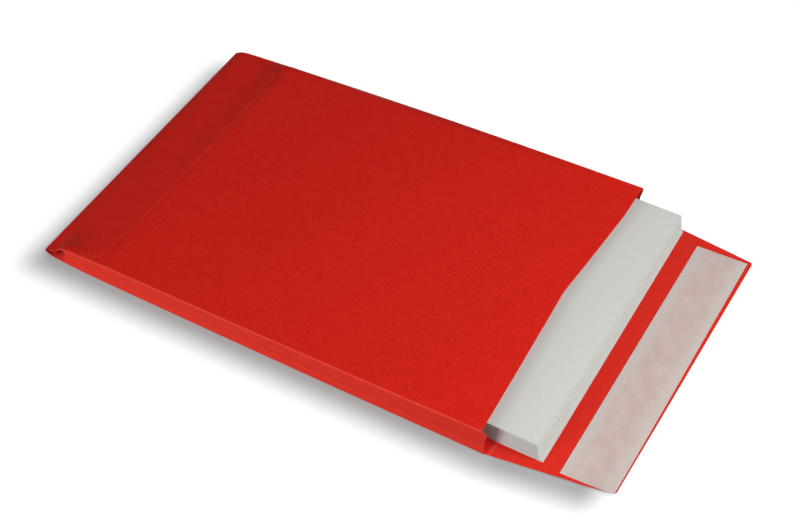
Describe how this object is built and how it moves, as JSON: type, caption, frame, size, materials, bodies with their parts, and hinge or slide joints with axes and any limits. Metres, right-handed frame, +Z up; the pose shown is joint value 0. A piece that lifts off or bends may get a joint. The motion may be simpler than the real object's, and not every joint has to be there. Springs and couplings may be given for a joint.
{
  "type": "expansion window envelope",
  "caption": "Side-gusseted pocket envelope with peel-and-seal flap open and a window in its front, standing open round a pile of sheets.",
  "frame": {"origin": "under the middle of the whole length and width, on the table", "axes": "+X from the closed end to the open flap, +Y across the pocket, +Z up"},
  "size_m": [0.404, 0.2282, 0.0198],
  "materials": {
    "red_paper": "uncoated red paper, matte, fine fibre",
    "clear_film": "clear glossy film",
    "adhesive": "tacky, pale",
    "liner_paper": "siliconised liner paper, pale, satin",
    "white_paper": "office paper, matte"
  },
  "bodies": {
    "root": {"envelope": "red_paper", "window_film": "clear_film", "adhesive_strip": "adhesive", "release_liner": "liner_paper", "paper_stack": "white_paper"}
  },
  "joints": []
}
